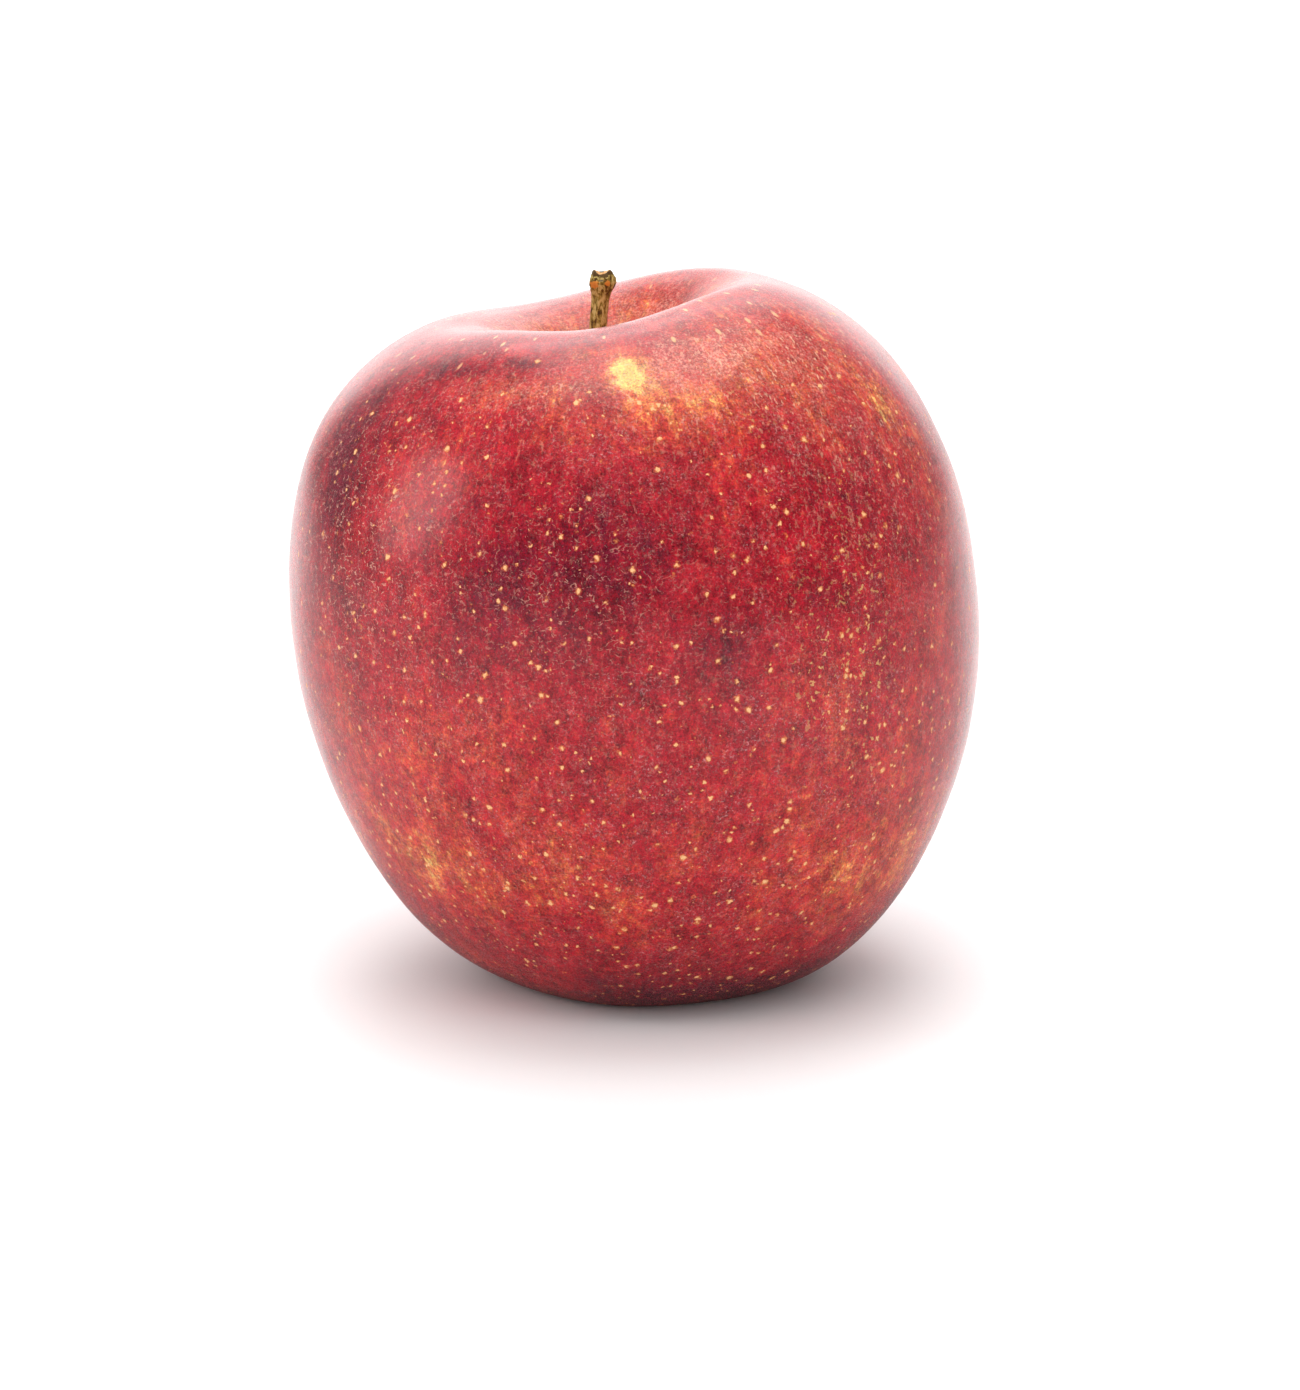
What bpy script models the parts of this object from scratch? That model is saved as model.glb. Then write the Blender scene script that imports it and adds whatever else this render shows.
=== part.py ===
"""A ripe red dessert apple, standing on its foot, with its stalk and its dried flower end.

Metres, +Z up. The foot lies in the plane z = 0 and the origin is under the middle of the fruit.
-Y is the front. The fruit is a turned body that is then carried to the shape it grew into: a core
axis that leans to the left, a fuller right cheek, and five lobes with a crown of uneven height.
Stalk, sepals and stamens are pieces of their own, each a hair's breadth clear of the flesh.
"""

import math

import bmesh
import bpy
import numpy as np
from mathutils import Vector

MM = 0.001

# Turned body of the fruit: radius and height of each station, from the stalk down to the calyx
CAVITY_FLOOR_HEIGHT = 66.4 * MM
CAVITY_FLOOR_RADIUS = 2.0 * MM
CAVITY_WALL_RADIUS = 6.6 * MM
CAVITY_WALL_HEIGHT = 72.0 * MM
CROWN_RADIUS = 16.5 * MM
CROWN_HEIGHT = 79.4 * MM
SHOULDER_RADIUS = 32.8 * MM
SHOULDER_HEIGHT = 70.0 * MM
CHEEK_RADIUS = 40.0 * MM
CHEEK_HEIGHT = 47.5 * MM
FLANK_RADIUS = 36.9 * MM
FLANK_HEIGHT = 24.4 * MM
HEEL_RADIUS = 24.1 * MM
HEEL_HEIGHT = 4.3 * MM
FOOT_RADIUS = 11.6 * MM
FOOT_PRESS = 0.05 * MM
BASIN_WALL_RADIUS = 5.0 * MM
BASIN_WALL_HEIGHT = 4.6 * MM
BASIN_DEPTH = 6.5 * MM

# How it grew: lean and bow of the core axis, the fuller side, and the lobes
CORE_LEAN = math.radians(5.9)
CORE_BOW = 3.6 * MM
CORE_BOW_HEIGHT = 80.0 * MM
FOOT_X = 0.25 * MM
FOOT_Y = 0.1 * MM
FULLER_RIGHT = 0.083
CROWN_TILT = 0.5 * MM
LOBE_ANGLES = tuple(math.radians(a) for a in (-98, -28, 46, 118, -170))
LOBE_LIFTS = tuple(h * MM for h in (-0.2, 3.1, 1.7, -2.3, -1.6))
LOBE_SWELL = 0.9 * MM
LIFT_SPREAD = 4.0
RIDGE_SPREAD = 10.0
FLUTE_RADIUS = 7.0 * MM
FLUTE_WIDTH = 2.6 * MM
FLUTE_DEPTH = 1.2 * MM

FRUIT_RINGS = 56
FRUIT_STEPS = 56

# Stalk: height, sideways place and radius of each station, from its root to its broken end
STALK_ROOT_DEPTH = 2.5 * MM
STALK_STATIONS = (
    (-STALK_ROOT_DEPTH, 0.00 * MM, 1.30 * MM),
    (0.0 * MM, -0.02 * MM, 1.35 * MM),
    (2.2 * MM, -0.07 * MM, 1.15 * MM),
    (6.0 * MM, -0.10 * MM, 1.05 * MM),
    (10.2 * MM, -0.05 * MM, 1.02 * MM),
    (12.8 * MM, 0.18 * MM, 1.00 * MM),
    (14.5 * MM, 0.32 * MM, 1.20 * MM),
    (15.8 * MM, 0.42 * MM, 1.58 * MM),
    (16.9 * MM, 0.40 * MM, 1.00 * MM),
)
SOCKET_GAP = 0.3 * MM

# Calyx: five sepals round a tuft of dried stamens, hanging in the basin
SEPAL_COUNT = 5
SEPAL_LENGTH = 5.0 * MM
SEPAL_HALF_WIDTH = 1.15 * MM
SEPAL_THICKNESS = 0.45 * MM
SEPAL_ROWS = 9
SEPAL_COLUMNS = 4
SEPAL_FOOT_RADIUS = 2.35 * MM
SEPAL_ROOT_HEIGHT = 5.5 * MM
SEPAL_START_TILT = math.radians(-12)
SEPAL_END_TILT = math.radians(75)
TUFT_TOP_HEIGHT = 6.0 * MM
TUFT_STEPS = 12


def make_material(name, colour, roughness):
    """A plain surface with one colour."""
    material = bpy.data.materials.new(name)
    material.use_nodes = True
    shader = material.node_tree.nodes["Principled BSDF"]
    shader.inputs["Base Color"].default_value = (*colour, 1.0)
    shader.inputs["Roughness"].default_value = roughness
    shader.inputs["Metallic"].default_value = 0.0
    material.diffuse_color = (*colour, 1.0)
    return material


def clear_scene():
    for thing in list(bpy.data.objects):
        bpy.data.objects.remove(thing, do_unlink=True)


def new_collection(name):
    collection = bpy.data.collections.new(name)
    bpy.context.scene.collection.children.link(collection)
    return collection


def new_object(name, data, collection, material=None):
    thing = bpy.data.objects.new(name, data)
    collection.objects.link(thing)
    if material is not None:
        data.materials.clear()
        data.materials.append(material)
    return thing


def realised(thing, name, collection, material=None):
    """The mesh that a curve or a modified object shows, as a welded object in its place."""
    bpy.context.view_layer.update()
    graph = bpy.context.evaluated_depsgraph_get()
    mesh = bpy.data.meshes.new_from_object(thing.evaluated_get(graph))
    mesh.name = name
    solid = bmesh.new()
    solid.from_mesh(mesh)
    bmesh.ops.remove_doubles(solid, verts=solid.verts, dist=0.00001)
    solid.to_mesh(mesh)
    solid.free()
    place = thing.matrix_world.copy()
    bpy.data.objects.remove(thing, do_unlink=True)
    piece = new_object(name, mesh, collection, material)
    piece.matrix_world = place
    mesh.shade_smooth()
    return piece


def smooth_curve(stations, count):
    """Points along the natural cubic spline through the stations, closer together where it bends."""
    stations = np.asarray(stations, float)
    steps = np.sqrt(np.linalg.norm(np.diff(stations, axis=0), axis=1))
    knots = np.concatenate([[0.0], np.cumsum(steps)])
    system = np.eye(len(knots))
    pull = np.zeros_like(stations)
    for i in range(1, len(knots) - 1):
        system[i, i - 1] = steps[i - 1]
        system[i, i] = 2 * (steps[i - 1] + steps[i])
        system[i, i + 1] = steps[i]
        rise = (stations[i + 1] - stations[i]) / steps[i]
        fall = (stations[i] - stations[i - 1]) / steps[i - 1]
        pull[i] = 6 * (rise - fall)
    bend = np.linalg.solve(system, pull)
    points = []
    for t in np.linspace(0.0, knots[-1], count):
        i = min(int(np.searchsorted(knots, t, side="right")) - 1, len(steps) - 1)
        h = steps[i]
        a = (knots[i + 1] - t) / h
        b = (t - knots[i]) / h
        curve = (a**3 - a) * bend[i] + (b**3 - b) * bend[i + 1]
        points.append(a * stations[i] + b * stations[i + 1] + curve * h * h / 6)
    return np.array(points)


def turned(name, profile, steps, collection, material):
    """A solid of revolution about Z, from a profile that runs down its outer side."""
    mesh = bpy.data.meshes.new(name + "_profile")
    corners = [(float(radius), 0.0, float(height)) for radius, height in profile]
    mesh.from_pydata(corners, [(i, i + 1) for i in range(len(corners) - 1)], [])
    outline = new_object(name + "_profile", mesh, collection)
    screw = outline.modifiers.new("turn", "SCREW")
    screw.axis = "Z"
    screw.angle = 2 * math.pi
    screw.steps = steps
    screw.render_steps = steps
    screw.use_merge_vertices = True
    screw.merge_threshold = 0.00001
    return realised(outline, name, collection, material)


def axis_place(height):
    """Where the leaning, bowed core axis is at a height."""
    x = FOOT_X - math.tan(CORE_LEAN) * height + CORE_BOW * (height / CORE_BOW_HEIGHT) ** 2
    return x, FOOT_Y


def grow(points):
    """Carries points of the turned body to the shape that the fruit grew into."""
    x, y, z = points.T
    radius = np.hypot(x, y)
    angle = np.arctan2(y, x)
    level = np.clip(z / CROWN_HEIGHT, 0.0, 1.2)

    # The crown rises over some lobes and sinks over others, and the cavity floor stays.
    crown = np.clip((level - 0.45) / 0.55, 0.0, None) ** 2 * np.clip(radius / CROWN_RADIUS, 0.0, 1.0)
    lift = CROWN_TILT * np.cos(angle)
    ridge = np.zeros_like(angle)
    mean_ridge = np.exp(-RIDGE_SPREAD) * np.i0(RIDGE_SPREAD)
    for lobe_angle, lobe_lift in zip(LOBE_ANGLES, LOBE_LIFTS):
        facing = np.cos(angle - lobe_angle) - 1.0
        lift = lift + lobe_lift * np.exp(LIFT_SPREAD * facing)
        ridge = ridge + np.exp(RIDGE_SPREAD * facing) - mean_ridge
    height = z + crown * lift

    # The lobes show most at the shoulder and at the heel, and fade out towards the axis.
    near_shoulder = 0.75 * np.exp(-(((level - 0.85) / 0.16) ** 2))
    near_heel = 0.7 * np.exp(-(((level - 0.12) / 0.14) ** 2))
    swell = LOBE_SWELL * ridge * np.clip(radius / (15 * MM), 0.0, 1.0)
    wide = radius * (1.0 + FULLER_RIGHT * np.cos(angle)) + swell * (0.45 + near_shoulder + near_heel)

    # The basin is puckered in five shallow flutes, and the foot is pressed flat.
    in_basin = np.exp(-(((radius - FLUTE_RADIUS) / FLUTE_WIDTH) ** 2)) * (level < 0.3)
    height = np.maximum(height - FLUTE_DEPTH * ridge * in_basin, 0.0)

    axis_x, axis_y = axis_place(height)
    return np.column_stack([axis_x + wide * np.cos(angle), axis_y + wide * np.sin(angle), height])


def fruit_stations():
    """The turned outline, from the middle of the cavity floor round to the middle of the basin."""
    return (
        (0.0, CAVITY_FLOOR_HEIGHT),
        (CAVITY_FLOOR_RADIUS, CAVITY_FLOOR_HEIGHT + 0.3 * MM),
        (CAVITY_WALL_RADIUS, CAVITY_WALL_HEIGHT),
        (CROWN_RADIUS, CROWN_HEIGHT),
        (SHOULDER_RADIUS, SHOULDER_HEIGHT),
        (CHEEK_RADIUS, CHEEK_HEIGHT),
        (FLANK_RADIUS, FLANK_HEIGHT),
        (HEEL_RADIUS, HEEL_HEIGHT),
        (FOOT_RADIUS, -FOOT_PRESS),
        (BASIN_WALL_RADIUS, BASIN_WALL_HEIGHT),
        (0.0, BASIN_DEPTH),
    )


def make_fruit(collection, material):
    """Flesh and skin, one grown solid."""
    profile = smooth_curve(fruit_stations(), FRUIT_RINGS)
    profile[0, 0] = 0.0
    profile[-1, 0] = 0.0
    fruit = turned("fruit", profile, FRUIT_STEPS, collection, material)
    places = np.empty(len(fruit.data.vertices) * 3)
    fruit.data.vertices.foreach_get("co", places)
    fruit.data.vertices.foreach_set("co", grow(places.reshape(-1, 3)).ravel())
    fruit.data.update()
    return fruit


def stalk_points():
    """The stalk's middle line, as (x, y, z, radius), in the socket first and then up to its end."""
    root_x, root_y = axis_place(CAVITY_FLOOR_HEIGHT)
    return [
        (root_x + aside, root_y, CAVITY_FLOOR_HEIGHT + rise, radius)
        for rise, aside, radius in STALK_STATIONS
    ]


def make_stalk(collection, material):
    """The woody stalk, flared where it broke from the twig."""
    curve = bpy.data.curves.new("stem", "CURVE")
    curve.dimensions = "3D"
    curve.bevel_depth = 1.0
    curve.bevel_resolution = 3
    curve.use_fill_caps = True
    curve.resolution_u = 3
    points = smooth_curve(stalk_points(), 22)
    line = curve.splines.new("POLY")
    line.points.add(len(points) - 1)
    for point, (x, y, z, radius) in zip(line.points, points):
        point.co = (x, y, z, 1.0)
        point.radius = radius
    return realised(new_object("stem_line", curve, collection), "stem", collection, material)


def cut_socket(fruit, cutters):
    """The hole in the cavity floor that the stalk's root stands in."""
    root_x, root_y = axis_place(CAVITY_FLOOR_HEIGHT)
    widest = max(radius for rise, _, radius in STALK_STATIONS if rise <= 0)
    low = CAVITY_FLOOR_HEIGHT - STALK_ROOT_DEPTH - SOCKET_GAP
    high = CAVITY_FLOOR_HEIGHT + 4 * MM
    solid = bmesh.new()
    bmesh.ops.create_cone(
        solid,
        cap_ends=True,
        segments=20,
        radius1=widest + SOCKET_GAP,
        radius2=widest + SOCKET_GAP,
        depth=high - low,
    )
    bmesh.ops.translate(solid, verts=solid.verts, vec=Vector((root_x, root_y, (low + high) / 2)))
    mesh = bpy.data.meshes.new("socket_cutter")
    solid.to_mesh(mesh)
    solid.free()
    cutter = new_object("socket_cutter", mesh, cutters)
    cutter.hide_render = True
    cutter.display_type = "WIRE"
    cut = fruit.modifiers.new("socket", "BOOLEAN")
    cut.operation = "DIFFERENCE"
    cut.solver = "EXACT"
    cut.object = cutter


def sepal_place(along, across, angle):
    """A point of a sepal's middle surface: it hangs from the basin and its tip curls outwards."""
    tilt = SEPAL_START_TILT
    radius = SEPAL_FOOT_RADIUS
    height = SEPAL_ROOT_HEIGHT
    pieces = 24
    for i in range(pieces):
        share = (i + 0.5) / pieces
        if share > along:
            break
        tilt = SEPAL_START_TILT + (SEPAL_END_TILT - SEPAL_START_TILT) * share**2.2
        radius += SEPAL_LENGTH / pieces * math.sin(tilt)
        height -= SEPAL_LENGTH / pieces * math.cos(tilt)
    taper = math.sqrt(max(1.0 - along**1.7, 0.0)) * (0.75 + 0.25 * math.sin(math.pi * min(along * 1.4, 1.0)))
    aside = across * SEPAL_HALF_WIDTH * max(taper, 0.18)
    radius -= 0.25 * MM * across**2
    return Vector((
        axis_place(height)[0] + radius * math.cos(angle) - aside * math.sin(angle),
        axis_place(height)[1] + radius * math.sin(angle) + aside * math.cos(angle),
        height,
    ))


def make_sepal(number, collection, material):
    """One dried, curled sepal, a thin sheet with a thickness."""
    name = f"sepal_{number + 1}"
    angle = LOBE_ANGLES[number] + math.radians(36)
    mesh = bpy.data.meshes.new(name)
    sheet = bmesh.new()
    bmesh.ops.create_grid(sheet, x_segments=SEPAL_ROWS, y_segments=SEPAL_COLUMNS, size=1.0)
    for vertex in sheet.verts:
        along = (vertex.co.x + 1.0) / 2.0
        vertex.co = sepal_place(along, vertex.co.y, angle)
    sheet.to_mesh(mesh)
    sheet.free()
    sepal = new_object(name, mesh, collection, material)
    wall = sepal.modifiers.new("thickness", "SOLIDIFY")
    wall.thickness = SEPAL_THICKNESS
    wall.offset = 0.0
    mesh.shade_smooth()
    return sepal


def make_stamens(collection, material):
    """The withered tuft of stamens in the middle of the calyx."""
    stations = (
        (0.0, TUFT_TOP_HEIGHT),
        (0.9 * MM, TUFT_TOP_HEIGHT - 0.1 * MM),
        (1.15 * MM, TUFT_TOP_HEIGHT - 0.9 * MM),
        (1.0 * MM, TUFT_TOP_HEIGHT - 2.0 * MM),
        (0.75 * MM, TUFT_TOP_HEIGHT - 2.9 * MM),
        (0.0, TUFT_TOP_HEIGHT - 3.1 * MM),
    )
    profile = [(max(radius, 0.0), height) for radius, height in smooth_curve(stations, 10)]
    profile[0] = (0.0, stations[0][1])
    profile[-1] = (0.0, stations[-1][1])
    tuft = turned("dried_stamens", profile, TUFT_STEPS, collection, material)
    tuft.location = (*axis_place(TUFT_TOP_HEIGHT), 0.0)
    return tuft


def main():
    clear_scene()
    parts = new_collection("apple")
    cutters = new_collection("apple_cutters")
    skin = make_material("red_skin", (0.42, 0.03, 0.035), 0.32)
    bark = make_material("stalk_bark", (0.24, 0.17, 0.07), 0.75)
    leaf = make_material("dry_sepal", (0.20, 0.15, 0.09), 0.85)
    fluff = make_material("dry_stamen", (0.09, 0.055, 0.03), 0.9)

    fruit = make_fruit(parts, skin)
    make_stalk(parts, bark)
    cut_socket(fruit, cutters)
    for number in range(SEPAL_COUNT):
        make_sepal(number, parts, leaf)
    make_stamens(parts, fluff)


main()
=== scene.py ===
"""Looks of a ripe red dessert apple: its skin, stalk and dried calyx, lit in a white studio.

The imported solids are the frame. The fruit's fine surface is turned and grown by the same rule as
the solid that it stands for, so it lies on it. Metres, +Z up, -Y to the front.
"""

import logging
import math
from collections.abc import Iterable, Sequence
from dataclasses import dataclass, field
from enum import Enum

import bpy
import numpy as np
from mathutils import Matrix, Vector, noise


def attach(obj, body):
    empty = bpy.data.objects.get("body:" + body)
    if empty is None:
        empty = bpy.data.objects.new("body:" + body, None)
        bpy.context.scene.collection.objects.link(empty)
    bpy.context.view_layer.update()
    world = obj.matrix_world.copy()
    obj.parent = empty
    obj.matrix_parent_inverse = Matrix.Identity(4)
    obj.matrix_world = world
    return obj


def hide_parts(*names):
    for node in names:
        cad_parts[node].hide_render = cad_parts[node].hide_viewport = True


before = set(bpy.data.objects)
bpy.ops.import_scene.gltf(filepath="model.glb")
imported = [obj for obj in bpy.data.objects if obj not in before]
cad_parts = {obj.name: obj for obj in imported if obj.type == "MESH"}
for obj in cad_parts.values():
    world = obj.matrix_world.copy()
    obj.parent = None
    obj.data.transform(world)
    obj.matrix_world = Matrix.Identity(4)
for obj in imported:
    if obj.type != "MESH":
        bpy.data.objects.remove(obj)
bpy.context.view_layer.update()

MM = 0.001
LOG = logging.getLogger("apple")

Colour = tuple[float, float, float]
Socket = bpy.types.NodeSocket
Feed = Socket | float | Sequence[float]
Feeds = dict[str | int, Feed]


# ---------------------------------------------------------------- workbench


class Bench:
    """The operators' workbench: one piece is on it at a time."""

    @staticmethod
    def clear() -> None:
        """Deselects every object and leaves edit mode."""
        if bpy.context.mode != "OBJECT":
            bpy.ops.object.mode_set(mode="OBJECT")
        bpy.ops.object.select_all(action="DESELECT")

    @staticmethod
    def take(piece: bpy.types.Object) -> None:
        """Puts a piece on the bench, alone.

        Args:
            piece: The object that the next operators act on.
        """
        Bench.clear()
        piece.select_set(True)
        bpy.context.view_layer.objects.active = piece

    @staticmethod
    def edit() -> None:
        """Opens the piece's mesh with all of it selected."""
        bpy.ops.object.mode_set(mode="EDIT")
        bpy.ops.mesh.select_all(action="SELECT")

    @staticmethod
    def close() -> None:
        """Closes the mesh again."""
        bpy.ops.object.mode_set(mode="OBJECT")

    @staticmethod
    def name(piece: bpy.types.Object, name: str) -> bpy.types.Object:
        """Names a piece and its mesh.

        Args:
            piece: The object.
            name: Its new name.

        Returns:
            The same object.
        """
        piece.name = name
        piece.data.name = name
        return piece

    @staticmethod
    def points(piece: bpy.types.Object) -> np.ndarray:
        """Reads the places of a mesh's points.

        Args:
            piece: The object.

        Returns:
            The places, one row each.
        """
        places = np.empty(len(piece.data.vertices) * 3)
        piece.data.vertices.foreach_get("co", places)
        return places.reshape(-1, 3)

    @staticmethod
    def move(piece: bpy.types.Object, places: np.ndarray) -> None:
        """Writes the places of a mesh's points."""
        piece.data.vertices.foreach_set("co", np.ascontiguousarray(places, float).ravel())
        piece.data.update()

    @staticmethod
    def note(piece: bpy.types.Object, name: str, values: np.ndarray) -> None:
        """Keeps a number or a vector at each point, for the finish to read.

        Args:
            piece: The object.
            name: The attribute's name.
            values: One number, or one row of three, for each point.
        """
        kind, key = ("FLOAT", "value") if values.ndim == 1 else ("FLOAT_VECTOR", "vector")
        layer = piece.data.attributes.get(name) or piece.data.attributes.new(name, kind, "POINT")
        layer.data.foreach_set(key, np.ascontiguousarray(values, float).ravel())

    @staticmethod
    def apply(piece: bpy.types.Object, kind: str, **settings: object) -> None:
        """Adds a modifier and applies it.

        Args:
            piece: The object.
            kind: The modifier's type.
            **settings: Its values.
        """
        Bench.take(piece)
        modifier = piece.modifiers.new(kind.lower(), kind)
        for key, value in settings.items():
            setattr(modifier, key, value)
        bpy.ops.object.modifier_apply(modifier=modifier.name)

    @staticmethod
    def heal(piece: bpy.types.Object, reach: float = 0.001 * MM) -> None:
        """Merges doubled points and turns the faces outwards.

        Args:
            piece: The object.
            reach: How near two points are merged.
        """
        Bench.take(piece)
        Bench.edit()
        bpy.ops.mesh.remove_doubles(threshold=reach)
        bpy.ops.mesh.normals_make_consistent(inside=False)
        Bench.close()
        piece.data.shade_smooth()


def smooth_curve(stations: Sequence[Sequence[float]], count: int) -> np.ndarray:
    """Finds points along the natural cubic spline through some stations.

    Args:
        stations: The points that it passes, each a row of numbers.
        count: How many points to give, closer together where the stations are.

    Returns:
        The points, one row each.
    """
    stops = np.asarray(stations, float)
    steps = np.sqrt(np.linalg.norm(np.diff(stops, axis=0), axis=1))
    knots = np.concatenate([[0.0], np.cumsum(steps)])
    system = np.eye(len(knots))
    pull = np.zeros_like(stops)
    for i in range(1, len(knots) - 1):
        system[i, i - 1 : i + 2] = steps[i - 1], 2 * (steps[i - 1] + steps[i]), steps[i]
        pull[i] = 6 * ((stops[i + 1] - stops[i]) / steps[i] - (stops[i] - stops[i - 1]) / steps[i - 1])
    bend = np.linalg.solve(system, pull)
    where = np.linspace(0.0, knots[-1], count)
    leg = np.minimum(np.searchsorted(knots, where, side="right") - 1, len(steps) - 1)
    h = steps[leg][:, None]
    a = (knots[leg + 1] - where)[:, None] / h
    b = (where - knots[leg])[:, None] / h
    curve = (a**3 - a) * bend[leg] + (b**3 - b) * bend[leg + 1]
    return a * stops[leg] + b * stops[leg + 1] + curve * h * h / 6


def hump(distance: np.ndarray, width: float) -> np.ndarray:
    """A bell that is 1 at no distance and fades over a width."""
    return np.exp(-((distance / width) ** 2))


def wander(places: np.ndarray, grain: float, seed: float) -> np.ndarray:
    """Smooth noise at some places.

    Args:
        places: One row of three numbers each, in metres.
        grain: The size of its patches, in metres.
        seed: Where in the noise to start, so that two uses differ.

    Returns:
        A number from about -1 to 1 for each place.
    """
    start = Vector((seed, seed * 1.7, seed * 0.3))
    return np.array([noise.noise(Vector(p) / grain + start) for p in places])


# ---------------------------------------------------------------- finishes


class Ease(Enum):
    """How a number goes from one range to another."""

    SMOOTH = "SMOOTHSTEP"
    STRAIGHT = "LINEAR"


class Step(Enum):
    """The steps of arithmetic that the finishes take."""

    ADD = "ADD"
    SUBTRACT = "SUBTRACT"
    TIMES = "MULTIPLY"
    TIMES_AND_ADD = "MULTIPLY_ADD"
    LARGEST = "MAXIMUM"
    SIZE = "ABSOLUTE"
    BELOW = "LESS_THAN"
    ABOVE = "GREATER_THAN"


class Recipe:
    """A material's or a world's node tree, built one node at a time."""

    def __init__(self, name: str, world: bool = False) -> None:
        """Starts a material, or a world, with one shader.

        Args:
            name: Its name.
            world: Whether it is a world.
        """
        self.material = (bpy.data.worlds if world else bpy.data.materials).new(name)
        self.material.use_nodes = True
        self.tree = self.material.node_tree
        self.shader = self.tree.nodes["Background" if world else "Principled BSDF"]
        self.places: Socket | None = None

    def node(self, kind: str, feeds: Feeds | None = None, **settings: object) -> bpy.types.Node:
        """Adds a node.

        Args:
            kind: The node's type, without its ShaderNode prefix.
            feeds: What goes into its inputs: a socket to link, or a plain value.
            **settings: The node's own settings.

        Returns:
            The node.
        """
        made = self.tree.nodes.new("ShaderNode" + kind)
        for key, value in settings.items():
            setattr(made, key, value)
        for key, value in (feeds or {}).items():
            self.feed(made.inputs[key], value)
        return made

    def feed(self, target: Socket, value: Feed) -> None:
        """Links a socket into an input, or sets the input's value."""
        if isinstance(value, bpy.types.NodeSocket):
            self.tree.links.new(value, target)
        else:
            target.default_value = value

    def set(self, **feeds: Feed) -> None:
        """Feeds the shader's inputs, named with _ for a space."""
        for key, value in feeds.items():
            self.feed(self.shader.inputs[key.replace("_", " ")], value)

    def object_places(self) -> Socket:
        """The place on the piece, in metres."""
        if self.places is None:
            self.places = self.node("TexCoord").outputs["Object"]
        return self.places

    def kept(self, name: str, vector: bool = False) -> Socket:
        """A number or vector that the mesh keeps at its points."""
        read = self.node("Attribute", attribute_name=name)
        return read.outputs["Vector" if vector else "Fac"]

    def sum(self, step: Step, *terms: Feed, clamp: bool = False) -> Socket:
        """One step of arithmetic."""
        return self.node("Math", dict(enumerate(terms)), operation=step.value, use_clamp=clamp).outputs[0]

    def times(self, one: Feed, other: Feed) -> Socket:
        """The product of two numbers."""
        return self.sum(Step.TIMES, one, other)

    def swing(self, pattern: Socket, amount: Feed, middle: Feed) -> Socket:
        """Swings a number about its middle by a pattern.

        Args:
            pattern: The pattern, from 0 to 1.
            amount: How far it swings over the pattern's whole range.
            middle: The number where the pattern is a half.

        Returns:
            The swung number.
        """
        return self.sum(Step.TIMES_AND_ADD, self.sum(Step.SUBTRACT, pattern, 0.5), amount, middle)

    def stretch(self, vector: Socket, scale: Sequence[float], shift: Sequence[float] = (0, 0, 0)) -> Socket:
        """A vector scaled and moved."""
        return self.node("Mapping", {"Vector": vector, "Location": shift, "Scale": scale}).outputs[0]

    def warp(self, vector: Socket, size: float, reach: float) -> Socket:
        """A vector pushed about by soft noise.

        Args:
            vector: The vector, in metres.
            size: How wide the pushes are, in metres.
            reach: How far they push, in metres.

        Returns:
            The pushed vector.
        """
        push = self.node("TexNoise", {"Vector": vector, "Scale": 1 / size, "Detail": 1.0})
        moved = self.node(
            "VectorMath",
            {0: push.outputs["Color"], 1: (2 * reach, 2 * reach, 2 * reach), 2: vector},
            operation="MULTIPLY_ADD",
        )
        return moved.outputs[0]

    def noise(
        self, vector: Socket, size: float, detail: float, roughness: float = 0.5, twist: float = 0.0
    ) -> Socket:
        """Smooth noise, mostly near a half.

        Args:
            vector: Where it is read.
            size: The size of its largest patches, in the vector's unit.
            detail: How many finer layers it has.
            roughness: How strong the finer layers are.
            twist: How far it is distorted.

        Returns:
            The noise, from 0 to 1.
        """
        feeds = {"Vector": vector, "Scale": 1 / size, "Detail": detail, "Roughness": roughness}
        return self.node("TexNoise", {**feeds, "Distortion": twist}).outputs["Fac"]

    def span(
        self,
        value: Socket,
        low: Feed,
        high: Feed,
        to_low: Feed = 0.0,
        to_high: Feed = 1.0,
        ease: Ease = Ease.SMOOTH,
    ) -> Socket:
        """Takes a number from one range to another, held at its ends.

        Args:
            value: The number.
            low: Where the first range starts.
            high: Where it ends.
            to_low: Where the second range starts.
            to_high: Where it ends.
            ease: How it goes between the ends.

        Returns:
            The number in the second range.
        """
        feeds = {"Value": value, "From Min": low, "From Max": high, "To Min": to_low, "To Max": to_high}
        return self.node("MapRange", feeds, interpolation_type=ease.value, clamp=True).outputs[0]

    def line(self, value: Socket, low: float, high: float, to_low: float, to_high: float) -> Socket:
        """Takes a number from one range to another in a straight line."""
        return self.span(value, low, high, to_low, to_high, Ease.STRAIGHT)

    def ramp(self, value: Socket, stops: Sequence[tuple[float, Colour]]) -> Socket:
        """Turns a number into a colour.

        Args:
            value: The number, from 0 to 1.
            stops: Each stop's number and colour, in rising order.

        Returns:
            The colour.
        """
        made = self.node("ValToRGB", {"Fac": value})
        line = made.color_ramp
        line.elements[0].position, line.elements[0].color = stops[0][0], (*stops[0][1], 1.0)
        line.elements[1].position, line.elements[1].color = stops[-1][0], (*stops[-1][1], 1.0)
        for place, colour in stops[1:-1]:
            line.elements.new(place).color = (*colour, 1.0)
        return made.outputs["Color"]

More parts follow.
